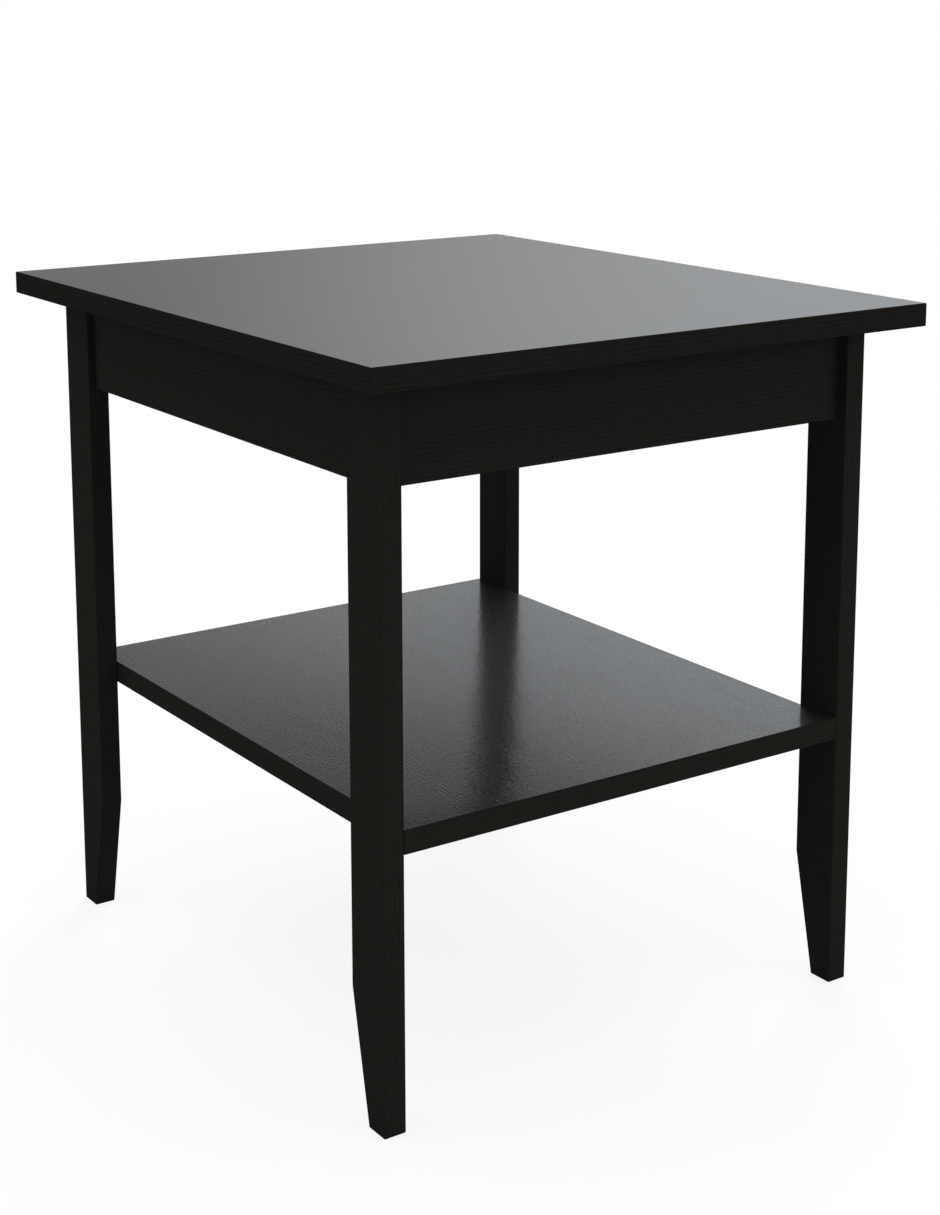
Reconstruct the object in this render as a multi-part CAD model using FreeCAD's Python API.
import FreeCAD
import Part
import math
import os

# End table with a lower shelf
# Black wood-grain boards on four tapered legs, held together by cam fittings and dowels.
# Millimetres, +Z up. The origin is on the floor under the middle of the top.
# The front of the table faces -Y and its left side faces -X.

# Driving dimensions: table top
table_height = 558.0
top_width = 500.0                # along X
top_depth = 571.0                # along Y
top_thickness = 18.0
overhang_sides = 28.5            # past the legs' outer faces, left and right
overhang_ends = 36.5             # past the legs' outer faces, front and back

# Driving dimensions: legs, flat boards that taper on their inner narrow face
leg_thickness = 18.0             # along X
leg_depth = 42.0                 # along Y
foot_depth = 21.0                # along Y, at the floor
taper_height = 100.0

# Driving dimensions: aprons
apron_thickness = 18.0
apron_height = 75.0
end_apron_recess = 10.0          # front and back aprons, behind the legs' outer faces
side_apron_recess = 6.5          # left and right aprons, behind the legs' outer faces

# Driving dimensions: shelf
shelf_thickness = 18.0
shelf_top_height = 225.0

# Softened edges of every board
edge_radius = 1.0

# Cam locks, which drop into a bore in a board's face and pull a bolt's ball head inwards
cam_diameter = 14.8
cam_bore_clearance = 0.1         # around the lock
cam_setback = 34.0               # lock's axis from the joint face
cam_recess = 0.5                 # lock's face below the board's face
cam_floor = 1.2                  # metal under the ball's pocket
cam_pocket_room = 1.3            # pocket radius past the ball's radius
cam_eccentricity = 0.8           # pocket's axis from the lock's axis, which thickens the jaw
cam_turn = 120.0                 # degrees from the ball's way in to the closed jaw
cam_clearance = 0.3              # around the ball and the neck
cam_seat_gap = 0.1               # between the ball and the closed jaw
cam_rim_chamfer = 0.5
driver_cross_length = 9.0
driver_cross_width = 1.6
driver_cross_depth = 2.5

# Cam bolts, which screw into the face of one board and reach into the edge of another
bolt_thread_diameter = 6.0
bolt_thread_length = 11.0
bolt_tip_chamfer = 1.0
bolt_shaft_diameter = 7.0
bolt_shaft_gap = 0.5             # between the shaft's end and the lock
bolt_neck_diameter = 4.0
bolt_ball_diameter = 7.0
thread_clearance = 0.1
shaft_clearance = 0.5

# Dowels
dowel_diameter = 8.0
dowel_length = 30.0
dowel_in_face = 11.0             # in the board whose face is bored
side_dowel_diameter = 6.0        # slimmer, for the narrow overlap of side apron and leg
side_dowel_length = 30.0
dowel_chamfer = 1.0
dowel_clearance = 0.1
bore_end_gap = 1.0               # past the tip of every bolt and dowel

# Places of the fittings
apron_dowel_margin = 14.0        # from the apron's upper and lower edges
side_dowel_spacing = 24.0        # between the two dowels at each end of a side apron
shelf_bolt_margin = 14.0         # from the legs' outer narrow faces
shelf_dowel_margin = 11.0        # from the legs' inner narrow faces
top_bolt_inset = 80.0            # from the ends of the front and back aprons
top_dowel_inset = 60.0           # from the ends of the left and right aprons

# Faces and middle planes that follow from the driving dimensions
top_underside = table_height - top_thickness
leg_outer_x = top_width / 2 - overhang_sides
leg_inner_x = leg_outer_x - leg_thickness
leg_outer_y = top_depth / 2 - overhang_ends
leg_inner_y = leg_outer_y - leg_depth
apron_bottom = top_underside - apron_height
apron_mid_height = top_underside - apron_height / 2
end_apron_y = leg_outer_y - end_apron_recess - apron_thickness / 2
side_apron_outer_x = leg_outer_x - side_apron_recess
side_apron_x = side_apron_outer_x - apron_thickness / 2
side_apron_inner_x = side_apron_outer_x - apron_thickness
side_dowel_x = (max(leg_inner_x, side_apron_inner_x) + side_apron_outer_x) / 2
shelf_mid_height = shelf_top_height - shelf_thickness / 2
cam_depth_below_bolt = bolt_ball_diameter / 2 + cam_clearance + cam_floor

Vector = FreeCAD.Vector
along_x = Vector(1, 0, 0)
along_z = Vector(0, 0, 1)
corners = [(x_side, y_side) for x_side in (-1, 1) for y_side in (-1, 1)]
corner_names = {(-1, -1): "front_left", (1, -1): "front_right", (-1, 1): "back_left", (1, 1): "back_right"}


# Boards
def board(middle, size):
    """A flat board from its middle and its size."""
    return Part.makeBox(size.x, size.y, size.z, middle - size * 0.5)


def lies_at_height(edge, height):
    return all(math.isclose(vertex.Z, height, abs_tol=1e-6) for vertex in edge.Vertexes)


def soften(blank, edges):
    return blank.makeFillet(edge_radius, edges)


def top_blank():
    middle = Vector(0, 0, table_height - top_thickness / 2)
    blank = board(middle, Vector(top_width, top_depth, top_thickness))
    return soften(blank, blank.Edges)


def shelf_blank():
    blank = board(Vector(0, 0, shelf_mid_height), Vector(2 * leg_inner_x, 2 * leg_outer_y, shelf_thickness))
    return soften(blank, blank.Edges)


def leg_blank(x_side, y_side):
    """A leg's tapered outline, cut from a board that stands on edge."""
    outline = [
        (leg_outer_y, 0),
        (leg_outer_y - foot_depth, 0),
        (leg_inner_y, taper_height),
        (leg_inner_y, top_underside),
        (leg_outer_y, top_underside),
    ]
    points = [Vector(x_side * leg_outer_x, y_side * y, z) for y, z in outline]
    face = Part.Face(Part.makePolygon(points + points[:1]))
    blank = face.extrude(along_x * (-x_side * leg_thickness))
    kept_sharp = (taper_height, top_underside)
    edges = [edge for edge in blank.Edges if not any(lies_at_height(edge, height) for height in kept_sharp)]
    return soften(blank, edges)


def apron_blank(middle, size):
    """An apron with its two long lower edges softened."""
    blank = board(middle, size)
    length = max(size.x, size.y)
    edges = [edge for edge in blank.Edges if lies_at_height(edge, apron_bottom) and edge.Length > length / 2]
    return soften(blank, edges)


def end_apron_blank(y_side):
    middle = Vector(0, y_side * end_apron_y, apron_mid_height)
    return apron_blank(middle, Vector(2 * leg_inner_x, apron_thickness, apron_height))


def side_apron_blank(x_side):
    middle = Vector(x_side * side_apron_x, 0, apron_mid_height)
    return apron_blank(middle, Vector(apron_thickness, 2 * leg_inner_y, apron_height))


# Fittings, each drawn in its own frame:
# the origin is on the joint face, X points into the board whose edge is bored,
# and Z points out of the mouth of the lock's bore
def spot(point, into, side):
    """Where a fitting's own X and Z axes point on the table, and where its origin lies."""
    across = side.cross(into)
    return FreeCAD.Placement(FreeCAD.Matrix(
        into.x, across.x, side.x, point.x,
        into.y, across.y, side.y, point.y,
        into.z, across.z, side.z, point.z,
        0, 0, 0, 1,
    ))


def placed(shape, place):
    copy = shape.copy()
    copy.Placement = place
    return copy


def rod(start, end, radius):
    """A round rod or bore along X."""
    return Part.makeCylinder(radius, end - start, Vector(start, 0, 0), along_x)


def turned(edges):
    """A solid of revolution about X from the edges of half its section."""
    return Part.Face(Part.Wire(edges)).revolve(Vector(), along_x, 360)


def lines_through(points):
    ends = [Vector(x, 0, radius) for x, radius in points]
    return [Part.LineSegment(a, b).toShape() for a, b in zip(ends, ends[1:])]


jaw_x = cam_setback + cam_eccentricity - bolt_ball_diameter / 2 - cam_pocket_room
ball_x = jaw_x + cam_seat_gap + bolt_ball_diameter / 2


def cam_bolt():
    """Thread, shaft, neck and ball head, turned in one piece."""
    thread_radius = bolt_thread_diameter / 2
    shaft_radius = bolt_shaft_diameter / 2
    neck_radius = bolt_neck_diameter / 2
    ball_radius = bolt_ball_diameter / 2
    shaft_end = cam_setback - cam_diameter / 2 - bolt_shaft_gap
    neck_end = ball_x - math.sqrt(ball_radius ** 2 - neck_radius ** 2)
    body = lines_through([
        (ball_x + ball_radius, 0),
        (-bolt_thread_length, 0),
        (-bolt_thread_length, thread_radius - bolt_tip_chamfer),
        (bolt_tip_chamfer - bolt_thread_length, thread_radius),
        (0, thread_radius),
        (0, shaft_radius),
        (shaft_end, shaft_radius),
        (shaft_end, neck_radius),
        (neck_end, neck_radius),
    ])
    ball = Part.Arc(
        Vector(neck_end, 0, neck_radius),
        Vector(ball_x, 0, ball_radius),
        Vector(ball_x + ball_radius, 0, 0),
    )
    return turned(body + [ball.toShape()])


def cam_lock(board_thickness):
    """A slotted drum with an off-centre pocket, shown closed on the bolt's ball."""
    drum_radius = cam_diameter / 2
    drum_height = cam_depth_below_bolt + board_thickness / 2 - cam_recess
    axis_point = Vector(cam_setback, 0, 0)
    foot = axis_point - along_z * cam_depth_below_bolt
    drum = Part.makeCylinder(drum_radius, drum_height, foot)
    face_height = drum_height - cam_depth_below_bolt
    drum = drum.makeChamfer(cam_rim_chamfer, [edge for edge in drum.Edges if lies_at_height(edge, face_height)])

    ball_room = bolt_ball_diameter / 2 + cam_clearance
    neck_room = bolt_neck_diameter / 2 + cam_clearance
    pocket = Part.makeCylinder(
        bolt_ball_diameter / 2 + cam_pocket_room,
        2 * ball_room,
        axis_point + Vector(cam_eccentricity, 0, -ball_room),
    )
    closed_jaw = Part.makeCylinder(neck_room, cam_diameter, axis_point, -along_x)
    way_in = Part.makeCylinder(ball_room, cam_diameter, axis_point, -along_x)
    way_in.rotate(axis_point, along_z, cam_turn)
    sweep = Part.makeCylinder(
        cam_diameter, 2 * neck_room, axis_point - along_z * neck_room, along_z, cam_turn
    )
    sweep.rotate(axis_point, along_z, 180)
    cross = [
        board(
            axis_point + along_z * face_height,
            Vector(length, width, 2 * driver_cross_depth),
        )
        for length, width in [
            (driver_cross_length, driver_cross_width),
            (driver_cross_width, driver_cross_length),
        ]
    ]
    return drum.cut([pocket, closed_jaw, way_in, sweep] + cross)


def cam_bores(board_thickness):
    """The bores of one cam fitting: for the thread, for the shaft and for the lock."""
    lock_bore = Part.makeCylinder(
        cam_diameter / 2 + cam_bore_clearance,
        cam_depth_below_bolt + board_thickness,
        Vector(cam_setback, 0, -cam_depth_below_bolt),
    )
    return [
        rod(-bolt_thread_length - bore_end_gap, 0, bolt_thread_diameter / 2 + thread_clearance),
        rod(0, cam_setback, bolt_shaft_diameter / 2 + shaft_clearance),
        lock_bore,
    ]


def dowel(diameter, start, end):
    """A round dowel with chamfered ends."""
    radius = diameter / 2
    return turned(lines_through([
        (end, 0),
        (start, 0),
        (start, radius - dowel_chamfer),
        (start + dowel_chamfer, radius),
        (end - dowel_chamfer, radius),
        (end, radius - dowel_chamfer),
        (end, 0),
    ]))


def dowel_bore(diameter, start, end):
    return rod(start - bore_end_gap, end + bore_end_gap, diameter / 2 + dowel_clearance)


# Where the fittings go
apron_dowel_heights = [apron_bottom + apron_dowel_margin, top_underside - apron_dowel_margin]
side_dowel_heights = [apron_mid_height + half * side_dowel_spacing / 2 for half in (-1, 1)]
shelf_bolt_y = leg_outer_y - shelf_bolt_margin
shelf_dowel_y = leg_inner_y + shelf_dowel_margin
top_bolt_x = leg_inner_x - top_bolt_inset
top_dowel_y = leg_inner_y - top_dowel_inset

apron_bolt_spots = []
apron_dowel_spots = []
side_dowel_spots = []
shelf_bolt_spots = []
shelf_dowel_spots = []
top_bolt_spots = []
top_dowel_spots = []
for x_side, y_side in corners:
    inward_x = Vector(-x_side, 0, 0)
    inward_y = Vector(0, -y_side, 0)
    apron_end = Vector(x_side * leg_inner_x, y_side * end_apron_y, apron_mid_height)
    apron_bolt_spots.append(spot(apron_end, inward_x, inward_y))
    for height in apron_dowel_heights:
        apron_dowel_spots.append(spot(Vector(apron_end.x, apron_end.y, height), inward_x, along_z))
    for height in side_dowel_heights:
        point = Vector(x_side * side_dowel_x, y_side * leg_inner_y, height)
        side_dowel_spots.append(spot(point, inward_y, along_z))
    point = Vector(x_side * leg_inner_x, y_side * shelf_bolt_y, shelf_mid_height)
    shelf_bolt_spots.append(spot(point, inward_x, -along_z))
    point = Vector(x_side * leg_inner_x, y_side * shelf_dowel_y, shelf_mid_height)
    shelf_dowel_spots.append(spot(point, inward_x, along_z))
    point = Vector(x_side * top_bolt_x, y_side * end_apron_y, top_underside)
    top_bolt_spots.append(spot(point, -along_z, inward_y))
    point = Vector(x_side * side_apron_x, y_side * top_dowel_y, top_underside)
    top_dowel_spots.append(spot(point, -along_z, along_x))

apron_lock = cam_lock(apron_thickness)
shelf_lock = cam_lock(shelf_thickness)
bolt = cam_bolt()
plain_dowel_span = (-dowel_in_face, dowel_length - dowel_in_face)
side_dowel_span = (-side_dowel_length / 2, side_dowel_length / 2)
plain_dowel = dowel(dowel_diameter, *plain_dowel_span)
side_dowel = dowel(side_dowel_diameter, *side_dowel_span)

bores = []
for place in apron_bolt_spots + top_bolt_spots:
    bores += [placed(bore, place) for bore in cam_bores(apron_thickness)]
for place in shelf_bolt_spots:
    bores += [placed(bore, place) for bore in cam_bores(shelf_thickness)]
for place in apron_dowel_spots + shelf_dowel_spots + top_dowel_spots:
    bores.append(placed(dowel_bore(dowel_diameter, *plain_dowel_span), place))
for place in side_dowel_spots:
    bores.append(placed(dowel_bore(side_dowel_diameter, *side_dowel_span), place))


# The table's pieces
def bored(blank):
    """A board with every bore that meets it."""
    meeting = [bore for bore in bores if blank.BoundBox.intersect(bore.BoundBox)]
    return blank.cut(meeting)


def group(fitting, places):
    return Part.makeCompound([placed(fitting, place) for place in places])


pieces = {
    "table_top": bored(top_blank()),
    "shelf": bored(shelf_blank()),
    "apron_front": bored(end_apron_blank(-1)),
    "apron_back": bored(end_apron_blank(1)),
    "apron_left": bored(side_apron_blank(-1)),
    "apron_right": bored(side_apron_blank(1)),
    "apron_cam_bolts": group(bolt, apron_bolt_spots),
    "apron_cam_locks": group(apron_lock, apron_bolt_spots),
    "apron_dowels": group(plain_dowel, apron_dowel_spots),
    "side_apron_dowels": group(side_dowel, side_dowel_spots),
    "shelf_cam_bolts": group(bolt, shelf_bolt_spots),
    "shelf_cam_locks": group(shelf_lock, shelf_bolt_spots),
    "shelf_dowels": group(plain_dowel, shelf_dowel_spots),
    "top_cam_bolts": group(bolt, top_bolt_spots),
    "top_cam_locks": group(apron_lock, top_bolt_spots),
    "top_dowels": group(plain_dowel, top_dowel_spots),
}
for corner in corners:
    pieces["leg_" + corner_names[corner]] = bored(leg_blank(*corner))

os.makedirs("parts", exist_ok=True)
for name, shape in pieces.items():
    shape.exportStep(os.path.join("parts", name + ".step"))
    print(f"{name}: {len(shape.Solids)} solid(s), {shape.Volume / 1000:.1f} cm3, valid {shape.isValid()}")
